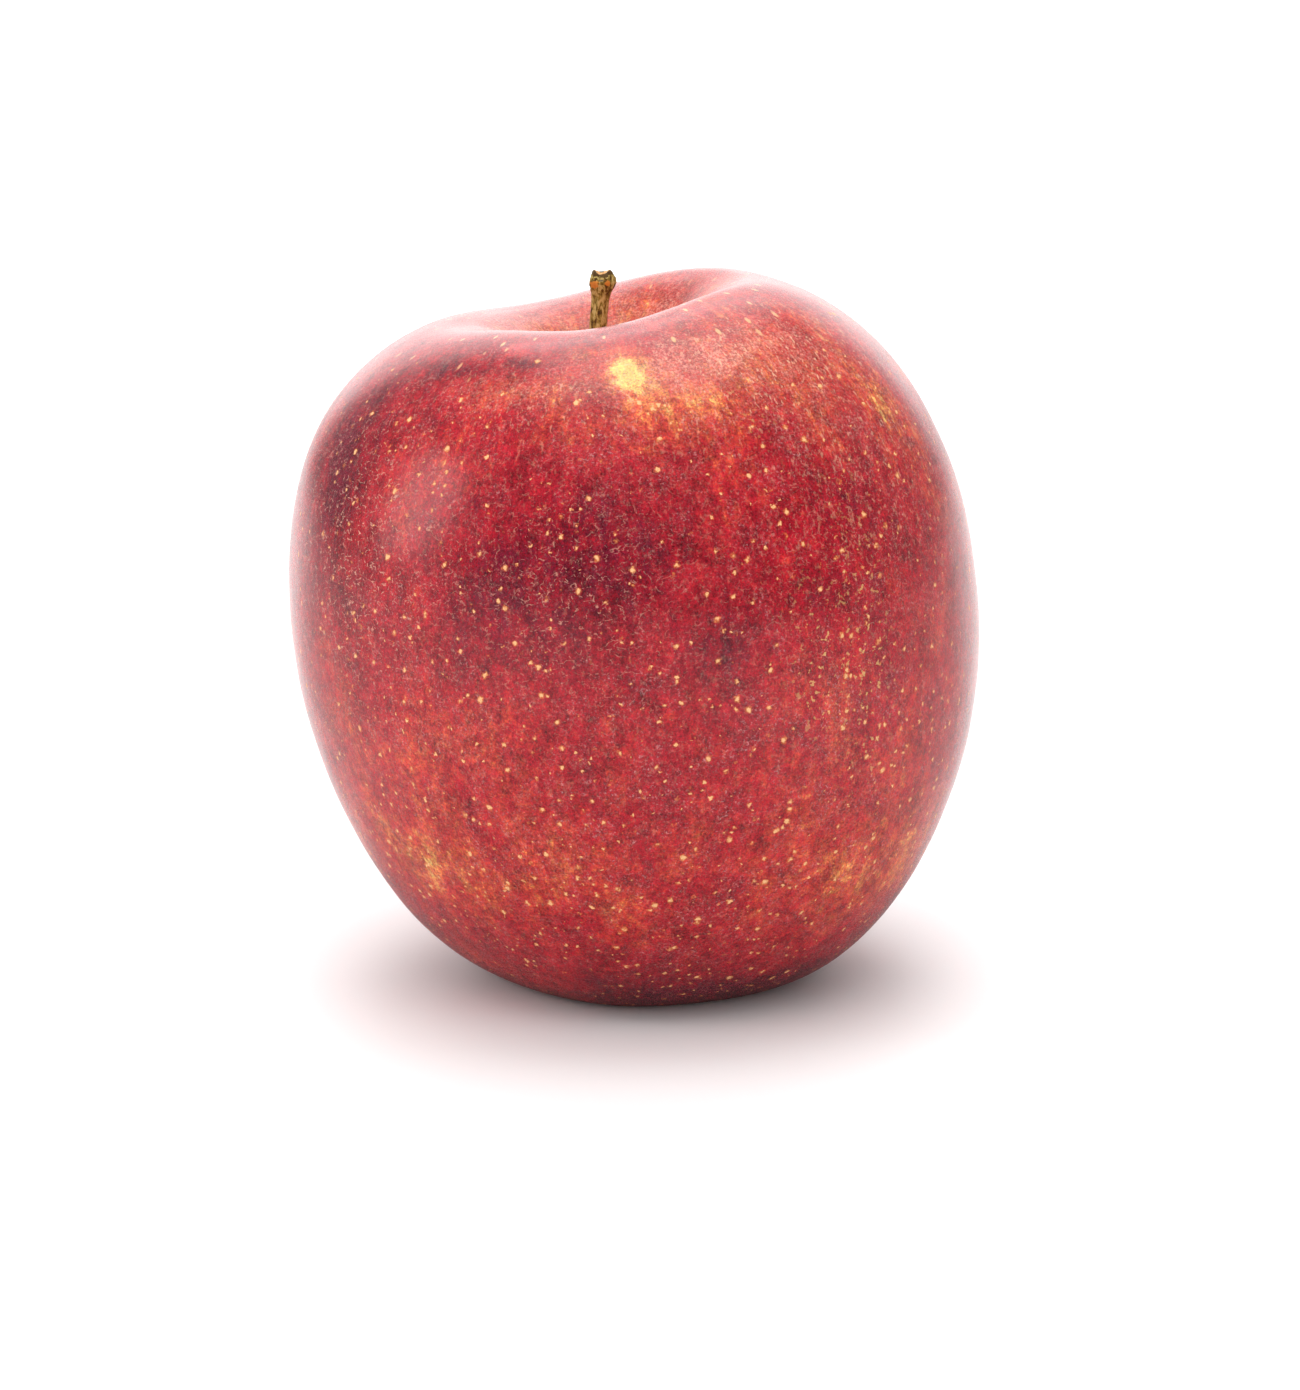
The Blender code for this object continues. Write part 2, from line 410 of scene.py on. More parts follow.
    def lay(self, share: Feed, under: Feed, over: Feed) -> Socket:
        """Lays one colour over another.

        Args:
            share: How much of it shows, from 0 to 1.
            under: The colour below.
            over: The colour on top.

        Returns:
            The colour that shows.
        """
        made = self.node("Mix", data_type="RGBA", blend_type="MIX", clamp_factor=True)
        self.feed(made.inputs[0], share)
        for key, value in ((6, under), (7, over)):
            self.feed(made.inputs[key], (*value, 1.0) if isinstance(value, tuple) else value)
        return made.outputs[2]

    def relief(self, heights: Iterable[tuple[Socket, float]]) -> None:
        """Gives the surface a fine relief.

        Args:
            heights: Each pattern from 0 to 1 with its height in metres.
        """
        normal: Socket | None = None
        for pattern, height in heights:
            made = self.node("Bump", {"Height": pattern, "Strength": 1.0, "Distance": height})
            if normal is not None:
                self.feed(made.inputs["Normal"], normal)
            normal = made.outputs["Normal"]
        self.set(Normal=normal)


@dataclass(frozen=True)
class PoreLayer:
    """One layer of the pale pores that dot the skin.

    Attributes:
        spacing: The size of a cell that may hold a pore, in metres.
        radius: A pore's largest radius, in metres.
        share: The share of cells that hold one, where the skin is fully dotted.
        seed: Where in the pattern to start.
    """

    spacing: float
    radius: float
    share: float
    seed: float


@dataclass(frozen=True)
class SkinFinish:
    """Waxy red skin over a yellow ground, with streaks, mottling, pores and fine russet lines."""

    ground: Colour = (0.80, 0.50, 0.13)
    amber: Colour = (0.66, 0.17, 0.045)
    vermilion: Colour = (0.48, 0.040, 0.022)
    crimson: Colour = (0.37, 0.008, 0.017)
    maroon: Colour = (0.25, 0.004, 0.014)
    plum: Colour = (0.14, 0.004, 0.017)
    pore: Colour = (0.90, 0.52, 0.24)
    pore_ring: Colour = (0.72, 0.22, 0.06)
    pore_heart: Colour = (0.58, 0.27, 0.09)
    russet: Colour = (0.74, 0.46, 0.16)
    hairline: Colour = (0.76, 0.36, 0.26)
    freckle: Colour = (0.88, 0.50, 0.32)
    bloom: Colour = (0.72, 0.36, 0.36)
    salmon: Colour = (0.86, 0.34, 0.25)
    layers: tuple[PoreLayer, ...] = (
        PoreLayer(2.1 * MM, 0.48 * MM, 0.80, 0.0),
        PoreLayer(1.6 * MM, 0.37 * MM, 0.60, 7.0),
        PoreLayer(1.1 * MM, 0.23 * MM, 0.40, 13.0),
    )
    roughness: float = 0.28
    wax: float = 0.12
    wax_roughness: float = 0.18

    def level(self, r: Recipe, places: Socket, grain: Socket, dust: Socket) -> Socket:
        """Works out how much red the skin holds, with the painted shade at the heel.

        Args:
            r: The material in the making.
            places: The place on the piece.
            grain: The side and the share of the way, along which the streaks run.
            dust: The finest grain.

        Returns:
            The pigment, from 0 for the bare ground to 1 for the darkest plum.
        """
        striped = r.kept("striped")
        swings = (
            (r.noise(r.stretch(grain, (5.0, 5.0, 1.6)), 1.0, 3.0, 0.55), 0.32),
            (r.noise(r.stretch(grain, (26.0, 26.0, 3.0)), 1.0, 3.0, 0.6), r.times(striped, 0.50)),
            (r.noise(r.stretch(grain, (95.0, 95.0, 9.0)), 1.0, 2.0, 0.6), r.times(striped, 0.40)),
            (r.noise(r.stretch(places, (1, 1, 0.6)), 6 * MM, 4.0, 0.62, 0.4), 0.78),
            (r.noise(places, 1.2 * MM, 3.0, 0.65), 0.70),
            (dust, 0.45),
        )
        level = r.kept("pigment_and_painted_shade")
        for pattern, amount in swings:
            level = r.swing(pattern, amount, level)
        return r.sum(Step.SUBTRACT, level, r.kept("gold"), clamp=True)

    def shade(self, r: Recipe, places: Socket, colour: Socket) -> Socket:
        """Makes the colour lighter and darker, by cloudy patches and by grain.

        Args:
            r: The material in the making.
            places: The place on the piece.
            colour: The colour so far.

        Returns:
            The shaded colour.
        """
        factor: Feed = 1.0
        for size, amount in ((0.26 * MM, 2.1), (1.1 * MM, 1.25), (3.8 * MM, 1.0)):
            cloud = r.noise(r.stretch(places, (1, 1, 0.8), (size * 9, 0, 0)), size, 2.0, 0.6)
            factor = r.swing(cloud, amount, factor)
        return r.node("VectorMath", {0: colour, "Scale": factor}, operation="SCALE").outputs[0]

    def pores(
        self, r: Recipe, places: Socket, layer: PoreLayer, density: Socket
    ) -> tuple[Socket, Socket, Socket]:
        """Lays out one layer of pores.

        Args:
            r: The material in the making.
            places: The place on the piece.
            layer: The layer's sizes.
            density: How dotted the skin is here, from 0 to 1.

        Returns:
            How much there is of the pores' rings, of their pale middles and of their darker hearts.
        """
        start = r.stretch(places, (1, 1, 1), (layer.seed, layer.seed * 0.5, 0))
        cells = r.node("TexVoronoi", {"Vector": start, "Scale": 1 / layer.spacing}, feature="F1")
        chance = r.node("SeparateColor", {"Color": cells.outputs["Color"]})
        kept = r.sum(Step.BELOW, chance.outputs[0], r.times(density, layer.share))
        widest = layer.radius / layer.spacing
        edge = r.line(chance.outputs[1], 0.0, 1.0, 0.55 * widest, widest)
        away = cells.outputs["Distance"]
        ring = r.span(away, r.times(edge, 0.55), r.times(edge, 1.15), 1.0, 0.0)
        middle = r.span(away, r.times(edge, 0.40), r.times(edge, 0.78), 1.0, 0.0)
        heart = r.span(away, 0.0, r.times(edge, 0.42), 1.0, 0.0)
        hearted = r.times(r.sum(Step.ABOVE, chance.outputs[2], 0.66), kept)
        return r.times(ring, kept), r.times(middle, kept), r.times(heart, hearted)

    def hairlines(self, r: Recipe, places: Socket) -> Socket:
        """Draws the net of fine broken lines.

        Args:
            r: The material in the making.
            places: The place on the piece.

        Returns:
            How much of a line there is.
        """
        lines: Socket | None = None
        for size, seed in ((2.1 * MM, 0.0), (1.3 * MM, 5.0)):
            bent = r.warp(r.stretch(places, (1, 1, 1.3), (seed, 0, 0)), 1.1 * MM, 0.9 * MM)
            web = r.node("TexVoronoi", {"Vector": bent, "Scale": 1 / size}, feature="DISTANCE_TO_EDGE")
            thin = r.span(web.outputs["Distance"], 0.01 * MM / size, 0.08 * MM / size, 1.0, 0.0)
            broken = r.span(r.noise(bent, 0.6 * MM, 2.0), 0.54, 0.62)
            line = r.times(thin, broken)
            lines = line if lines is None else r.sum(Step.LARGEST, lines, line)
        return r.times(lines, r.kept("netted"))

    def mist(self, r: Recipe, places: Socket, grain: Socket, colour: Socket) -> Socket:
        """Lays the bloom, the pale blush, the freckles and the russet specks.

        Args:
            r: The material in the making.
            places: The place on the piece.
            grain: The side and the share of the way.
            colour: The colour so far.

        Returns:
            The colour with them.
        """
        pale = r.noise(r.stretch(places, (1, 1, 1), (0.02, 0, 0)), 0.32 * MM, 3.0, 0.7)
        clouds = r.noise(r.stretch(places, (1, 1, 0.7), (0.05, 0, 0)), 2.6 * MM, 2.0, 0.6)
        thinned = r.span(r.kept("pigment_and_painted_shade"), 0.5, 0.85, 1.0, 0.4)
        misted = r.times(r.span(clouds, 0.38, 0.64, 0.0, 1.7), thinned)
        bloomed = r.times(r.span(pale, 0.53, 0.76, 0.01, 0.38), misted)
        colour = r.lay(bloomed, colour, self.bloom)
        grained = r.times(r.span(clouds, 0.30, 0.65, 0.6, 1.3), r.span(pale, 0.40, 0.66, 0.25, 1.6))
        colour = r.lay(r.times(grained, r.kept("blushed")), colour, self.salmon)
        sprinkled = r.noise(r.stretch(grain, (76.0, 76.0, 44.0)), 1.0, 3.0, 0.65)
        freckles = r.span(sprinkled, 0.56, 0.68, 0.0, 0.75)
        colour = r.lay(r.times(freckles, r.kept("freckled")), colour, self.freckle)
        specks = r.span(r.noise(places, 0.75 * MM, 2.0, 0.6), 0.60, 0.68)
        return r.lay(r.times(specks, r.kept("russeted")), colour, self.russet)

    def material(self) -> bpy.types.Material:
        """Mixes the finish.

        Returns:
            The material.
        """
        r = Recipe("apple_skin")
        places = r.object_places()
        grain = r.kept("grain", vector=True)
        dust = r.noise(places, 0.20 * MM, 1.0)
        colour = r.ramp(
            self.level(r, places, grain, dust),
            (
                (0.0, self.ground),
                (0.13, self.amber),
                (0.30, self.vermilion),
                (0.52, self.crimson),
                (0.78, self.maroon),
                (1.0, self.plum),
            ),
        )
        colour = self.shade(r, places, colour)
        colour = self.mist(r, places, grain, colour)
        lines = self.hairlines(r, places)
        colour = r.lay(r.times(lines, 0.75), colour, self.hairline)
        uneven = r.warp(places, 0.40 * MM, 0.30 * MM)
        all_pores: Socket | None = None
        for layer in self.layers:
            ring, middle, heart = self.pores(r, uneven, layer, r.kept("dotted"))
            colour = r.lay(r.times(ring, 0.75), colour, self.pore_ring)
            colour = r.lay(r.times(middle, 0.85), colour, self.pore)
            colour = r.lay(r.times(heart, 0.7), colour, self.pore_heart)
            all_pores = middle if all_pores is None else r.sum(Step.LARGEST, all_pores, middle)
        drawn = r.stretch(grain, (13.0, 13.0, 8.0))
        streaked = r.node("TexVoronoi", {"Vector": drawn, "Scale": 1.0}, feature="F1")
        flecks = r.span(streaked.outputs["Distance"], 0.08, 0.17, 1.0, 0.0)
        colour = r.lay(r.times(flecks, r.kept("flecked")), colour, self.pore)
        uneven_wax = r.line(dust, 0.3, 0.7, self.roughness - 0.05, self.roughness + 0.05)
        r.set(
            Base_Color=colour,
            Roughness=r.sum(Step.TIMES_AND_ADD, all_pores, 0.25, uneven_wax),
            IOR=1.39,
            Coat_Weight=self.wax,
            Coat_Roughness=self.wax_roughness,
            Coat_IOR=1.45,
        )
        rough = r.noise(places, 1.0 * MM, 3.0, 0.65)
        r.relief(((rough, 0.02 * MM), (dust, 0.006 * MM), (all_pores, 0.03 * MM), (lines, 0.02 * MM)))
        return r.material


@dataclass(frozen=True)
class BarkFinish:
    """Olive-brown bark of the stalk, ribbed along its length."""

    olive: Colour = (0.27, 0.185, 0.032)
    tan: Colour = (0.60, 0.46, 0.17)
    groove: Colour = (0.058, 0.024, 0.006)
    rust: Colour = (0.62, 0.21, 0.03)
    ash: Colour = (0.11, 0.085, 0.065)

    def material(self) -> bpy.types.Material:
        """Mixes the finish.

        Returns:
            The material.
        """
        r = Recipe("stalk_bark")
        places = r.object_places()
        ribs = r.noise(r.stretch(places, (1, 1, 0.30)), 0.42 * MM, 4.0, 0.7, 0.6)
        patches = r.noise(places, 0.8 * MM, 3.0, 0.6)
        mottled = r.swing(patches, 0.45, ribs)
        stops = ((0.38, self.groove), (0.48, self.olive), (0.60, self.tan), (0.74, self.olive))
        colour = r.ramp(mottled, stops)
        for name, tint in (("orange", self.rust), ("ash", self.ash), ("rim", self.groove)):
            ragged = r.swing(patches, 1.6, r.kept(name))
            colour = r.lay(r.span(ragged, 0.42, 0.62, 0.0, 0.9), colour, tint)
        rough = r.line(patches, 0.3, 0.7, 0.62, 0.85)
        r.set(Base_Color=colour, Roughness=rough, IOR=1.45, Specular_IOR_Level=0.25)
        r.relief(((ribs, 0.10 * MM), (patches, 0.05 * MM)))
        return r.material


@dataclass(frozen=True)
class DryFinish:
    """Dry, downy plant tissue, as on the pith, the sepals and the stamens."""

    name: str
    pale: Colour
    deep: Colour
    grain: float
    down: float = 0.0

    def material(self) -> bpy.types.Material:
        """Mixes the finish.

        Returns:
            The material.
        """
        r = Recipe(self.name)
        places = r.object_places()
        fibres = r.noise(places, self.grain, 4.0, 0.65)
        colour = r.ramp(fibres, ((0.34, self.deep), (0.66, self.pale)))
        rough = r.line(fibres, 0.3, 0.7, 0.75, 0.92)
        r.set(Base_Color=colour, Roughness=rough, Sheen_Weight=self.down)
        r.relief(((fibres, 0.3 * self.grain),))
        return r.material


# ---------------------------------------------------------------- the fruit


@dataclass(frozen=True)
class Lobe:
    """One of the fruit's five lobes: its side, in degrees from +X, and the crown's rise over it."""

    side: float
    lift: float


@dataclass(frozen=True)
class Growth:
    """How the turned body grew: a leaning core, a fuller right cheek, five lobes and a pressed foot."""

    crown_height: float = 79.4 * MM
    crown_radius: float = 16.5 * MM
    lean: float = math.radians(5.9)
    bow: float = 3.6 * MM
    bow_height: float = 80.0 * MM
    foot: tuple[float, float] = (0.25 * MM, 0.1 * MM)
    fuller: float = 0.083
    tilt: float = 0.5 * MM
    lobes: tuple[Lobe, ...] = (
        Lobe(-98, -0.2 * MM),
        Lobe(-28, 3.1 * MM),
        Lobe(46, 1.7 * MM),
        Lobe(118, -2.3 * MM),
        Lobe(-170, -1.6 * MM),
    )
    swell: float = 0.9 * MM
    swell_radius: float = 15 * MM
    lift_spread: float = 4.0
    ridge_spread: float = 10.0
    flute_radius: float = 7.0 * MM
    flute_width: float = 2.6 * MM
    flute_depth: float = 1.2 * MM

    def axis(self, height: np.ndarray | float) -> tuple[np.ndarray | float, float]:
        """Where the core axis is at a height."""
        x = self.foot[0] - math.tan(self.lean) * height + self.bow * (height / self.bow_height) ** 2
        return x, self.foot[1]

    def carry(self, places: np.ndarray) -> np.ndarray:
        """Carries points of the turned body to where they grew.

        Args:
            places: Points of the turned body, one row each.

        Returns:
            Points of the fruit, one row each.
        """
        radius = np.hypot(places[:, 0], places[:, 1])
        side = np.arctan2(places[:, 1], places[:, 0])
        z = places[:, 2]
        level = np.clip(z / self.crown_height, 0.0, 1.2)
        high_up = np.clip((level - 0.45) / 0.55, 0.0, None) ** 2
        rising = high_up * np.clip(radius / self.crown_radius, 0.0, 1.0)
        lift = self.tilt * np.cos(side)
        ridge = np.zeros_like(side)
        mean_ridge = math.exp(-self.ridge_spread) * float(np.i0(self.ridge_spread))
        for lobe in self.lobes:
            facing = np.cos(side - math.radians(lobe.side)) - 1.0
            lift = lift + lobe.lift * np.exp(self.lift_spread * facing)
            ridge = ridge + np.exp(self.ridge_spread * facing) - mean_ridge
        near_shoulder = 0.75 * hump(level - 0.85, 0.16)
        near_heel = 0.7 * hump(level - 0.12, 0.14)
        swell = self.swell * ridge * np.clip(radius / self.swell_radius, 0.0, 1.0)
        wide = radius * (1.0 + self.fuller * np.cos(side)) + swell * (0.45 + near_shoulder + near_heel)
        in_basin = hump(radius - self.flute_radius, self.flute_width) * (level < 0.3)
        height = np.maximum(z + rising * lift - self.flute_depth * ridge * in_basin, 0.0)
        x, y = self.axis(height)
        return np.column_stack([x + wide * np.cos(side), y + wide * np.sin(side), height])


@dataclass(frozen=True)
class Patch:
    """A soft patch of the skin, on the outline's share and side, in degrees from +X.

    Attributes:
        side: Its middle's side, in degrees.
        share: Its middle's share of the way from the stalk to the calyx.
        width: Its half width, in degrees.
        height: Its half height, as a share of the way.
        amount: How much it adds.
    """

    side: float
    share: float
    width: float
    height: float
    amount: float

    def over(self, side: np.ndarray, share: np.ndarray) -> np.ndarray:
        """How much it adds at some places of the skin."""
        away = (np.degrees(side) - self.side + 180.0) % 360.0 - 180.0
        return self.amount * hump(away, self.width) * hump(share - self.share, self.height)


@dataclass
class Fruit:
    """Flesh and skin, one grown piece.

    Attributes:
        growth: How it grew.
        finish: Its skin's finish.
        stations: Points of the turned outline, as radius and height, from the stalk to the calyx.
        rings: How many rings of points the skin has.
        steps: How many points a ring has.
        dents: The grain and the depth of its soft dents.
        flush_and_painted_shading: More or less red, and painted shade: darker at the foot to the right,
            less dark at the left heel.
        golden: Where the yellow ground shows.
        nets: More of the fine russet lines.
        russets: Where there are russet specks.
        blushed: Where the red is pale and pinkish.
        freckled: Where there are more freckles.
        plain: Where the streaks fade out.
        way: The length of the way from stalk to calyx, for the streaks' grain.
        base_pigment: The pigment where nothing adds to it.
        heel_painted_shade: Painted shade at the heel: how much redder the skin grows towards the calyx.
    """

    growth: Growth = field(default_factory=Growth)
    finish: SkinFinish = field(default_factory=SkinFinish)
    stations: tuple[tuple[float, float], ...] = (
        (0.0, 66.4 * MM),
        (2.0 * MM, 66.7 * MM),
        (6.6 * MM, 72.0 * MM),
        (16.5 * MM, 79.4 * MM),
        (32.8 * MM, 70.0 * MM),
        (40.0 * MM, 47.5 * MM),
        (36.9 * MM, 24.4 * MM),
        (24.1 * MM, 4.3 * MM),
        (11.6 * MM, -0.05 * MM),
        (5.0 * MM, 4.6 * MM),
        (0.0, 6.5 * MM),
    )
    rings: int = 168
    steps: int = 256
    dents: tuple[tuple[float, float], ...] = ((13 * MM, 0.14 * MM), (4.5 * MM, 0.035 * MM))
    flush_and_painted_shading: tuple[Patch, ...] = (
        Patch(-149, 0.37, 10, 0.072, 0.50),
        Patch(-95, 0.42, 16, 0.058, 0.30),
        Patch(-108, 0.44, 13, 0.045, 0.18),
        Patch(-78, 0.41, 12, 0.055, 0.08),
        Patch(-42, 0.41, 17, 0.060, 0.18),
        Patch(-55, 0.445, 6, 0.020, 0.22),
        Patch(-30, 0.37, 9, 0.040, -0.25),
        Patch(-127, 0.287, 13, 0.008, 0.36),
        Patch(-109, 0.276, 11, 0.007, 0.24),
        Patch(-110, 0.305, 14, 0.014, -0.24),
        Patch(-134, 0.31, 14, 0.030, 0.12),
        Patch(-50, 0.31, 26, 0.030, -0.16),
        Patch(-90, 0.64, 70, 0.050, -0.08),
        # Painted shadow: darker red at the foot to the right, where the contact shade falls.
        Patch(-62, 0.765, 34, 0.030, 0.25),
        Patch(-112, 0.53, 9, 0.045, -0.12),
        Patch(-120, 0.61, 9, 0.030, -0.16),
        Patch(-140, 0.66, 18, 0.050, -0.16),
        Patch(-38, 0.66, 20, 0.050, -0.20),
        # Painted light: less red at the left heel, where the light falls.
        Patch(-138, 0.75, 20, 0.030, -0.25),
        Patch(-140, 0.46, 12, 0.040, 0.14),
        Patch(-110, 0.475, 10, 0.030, 0.18),
        Patch(-73, 0.475, 6, 0.030, 0.20),
        Patch(-80, 0.335, 11, 0.018, -0.20),
        Patch(-128, 0.58, 16, 0.100, -0.08),
        Patch(-64, 0.33, 14, 0.030, -0.08),
        Patch(-48, 0.55, 13, 0.120, -0.10),
        Patch(-29, 0.347, 2, 0.014, -0.30),
        Patch(-90, 0.140, 400, 0.055, -0.24),
    )
    golden: tuple[Patch, ...] = (
        Patch(-83, 0.286, 5, 0.016, 0.46),
        Patch(-80, 0.303, 4, 0.016, 0.22),
        Patch(-80, 0.294, 9, 0.026, 0.10),
        Patch(-48, 0.255, 26, 0.035, 0.10),
    )
    nets: tuple[Patch, ...] = (
        Patch(-140, 0.43, 20, 0.10, 0.9),
        Patch(-94, 0.44, 14, 0.06, 0.5),
        Patch(-45, 0.42, 20, 0.08, 0.25),
    )
    russets: tuple[Patch, ...] = (
        Patch(-55, 0.49, 5, 0.05, 0.8),
        Patch(-46, 0.50, 4, 0.10, 0.7),
        Patch(-62, 0.33, 9, 0.03, 0.3),
    )
    blushed: tuple[Patch, ...] = (
        Patch(-64, 0.288, 28, 0.028, 0.46),
        Patch(-110, 0.303, 13, 0.012, 0.16),
        Patch(-40, 0.33, 14, 0.040, 0.12),
        Patch(-90, 0.140, 400, 0.060, 0.45),
    )
    freckled: tuple[Patch, ...] = (
        Patch(-50, 0.295, 32, 0.045, 0.80),
        Patch(-34, 0.38, 20, 0.060, 0.35),
        Patch(-105, 0.31, 22, 0.030, 0.35),
    )
    plain: Patch = Patch(-78, 0.295, 17, 0.045, 1.0)
    way: float = 4.7
    base_pigment: float = 0.54
    heel_painted_shade: float = 0.22

    def outline(self) -> bpy.types.Object:
        """Draws the turned outline, extruded point by point, and keeps each point's share of the way.

        Returns:
            The outline, from the stalk to the calyx.
        """
        points = smooth_curve(self.stations, self.rings)
        points[0, 0] = points[-1, 0] = 0.0
        bpy.ops.mesh.primitive_plane_add(size=MM, location=(0.0, 0.0, float(points[0, 1])))
        line = bpy.context.object
        bpy.ops.object.transform_apply(location=True, rotation=False, scale=False)
        Bench.edit()
        bpy.ops.mesh.merge(type="CENTER")
        for before, after in zip(points[:-1], points[1:]):
            step = (float(after[0] - before[0]), 0.0, float(after[1] - before[1]))
            bpy.ops.mesh.extrude_vertices_move(TRANSFORM_OT_translate={"value": step})
        Bench.close()
        Bench.note(line, "share", np.linspace(0.0, 1.0, self.rings))
        return line

    def build(self) -> bpy.types.Object:
        """Turns the outline round the core axis and carries it to its grown shape.

        Returns:
            The finished piece.
        """
        Bench.clear()
        skin = Bench.name(self.outline(), "apple_fruit")
        Bench.edit()
        bpy.ops.mesh.spin(steps=self.steps, angle=2 * math.pi, center=(0, 0, 0), axis=(0, 0, 1))
        Bench.close()
        Bench.heal(skin)
        turned = Bench.points(skin)
        side = np.arctan2(turned[:, 1], turned[:, 0])
        share = np.empty(len(turned))
        skin.data.attributes["share"].data.foreach_get("value", share)
        grown = self.growth.carry(turned)
        outwards = np.empty(len(turned) * 3)
        Bench.move(skin, grown)
        skin.data.vertex_normals.foreach_get("vector", outwards)
        free = np.clip((grown[:, 2] - 1.0 * MM) / (6 * MM), 0.0, 1.0)
        for index, (size, depth) in enumerate(self.dents):
            push = wander(grown, size, 3.1 + index) * depth * free
            grown = grown + outwards.reshape(-1, 3) * push[:, None]
        Bench.move(skin, grown)
        self.keep_notes(skin, side, share)
        return skin

    def keep_notes(self, skin: bpy.types.Object, side: np.ndarray, share: np.ndarray) -> None:
        """Keeps at each point what the finish reads.

        Args:
            skin: The fruit's piece.
            side: Each point's side, in radians.
            share: Each point's share of the way from stalk to calyx.
        """

        def total(patches: Iterable[Patch], start: float = 0.0) -> np.ndarray:
            """What some patches add at each point."""
            return sum((patch.over(side, share) for patch in patches), start)

        def rising(start: float, reach: float) -> np.ndarray:
            """A number that rises from 0 to 1 over a reach of the way."""
            return np.clip((share - start) / reach, 0.0, 1.0)

        # Painted shade: the skin darkens towards the calyx, where the heel sits in shade.
        heel = self.heel_painted_shade * rising(0.67, 0.09)
        below_crown = rising(0.26, 0.06)
        golden = total(self.golden)
        plain = 0.85 * self.plain.over(side, share)
        Bench.note(skin, "grain", np.column_stack([np.cos(side), np.sin(side), share * self.way]))
        Bench.note(skin, "pigment_and_painted_shade", total(self.flush_and_painted_shading, self.base_pigment) + heel)
        Bench.note(skin, "gold", golden)
        Bench.note(skin, "dotted", below_crown * (0.58 + 0.42 * rising(0.45, 0.2)))
        Bench.note(skin, "striped", (1.0 - 0.6 * rising(0.35, 0.15)) * (1.0 - plain))
        Bench.note(skin, "flecked", 0.75 * (1.0 - below_crown) * rising(0.15, 0.05))
        Bench.note(skin, "netted", 0.2 + total(self.nets))
        Bench.note(skin, "russeted", total(self.russets))
        Bench.note(skin, "blushed", np.clip(1.0 - 1.6 * golden, 0.0, 1.0) * total(self.blushed))
        Bench.note(skin, "freckled", 0.12 + total(self.freckled))

    def dress(self, skin: bpy.types.Object) -> None:
        """Gives the fruit its finish and its place in the frame.

        Args:
            skin: The fruit's piece.
        """
        skin.data.materials.append(self.finish.material())
        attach(skin, "root")
        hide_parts("fruit")


# ---------------------------------------------------------------- the stalk


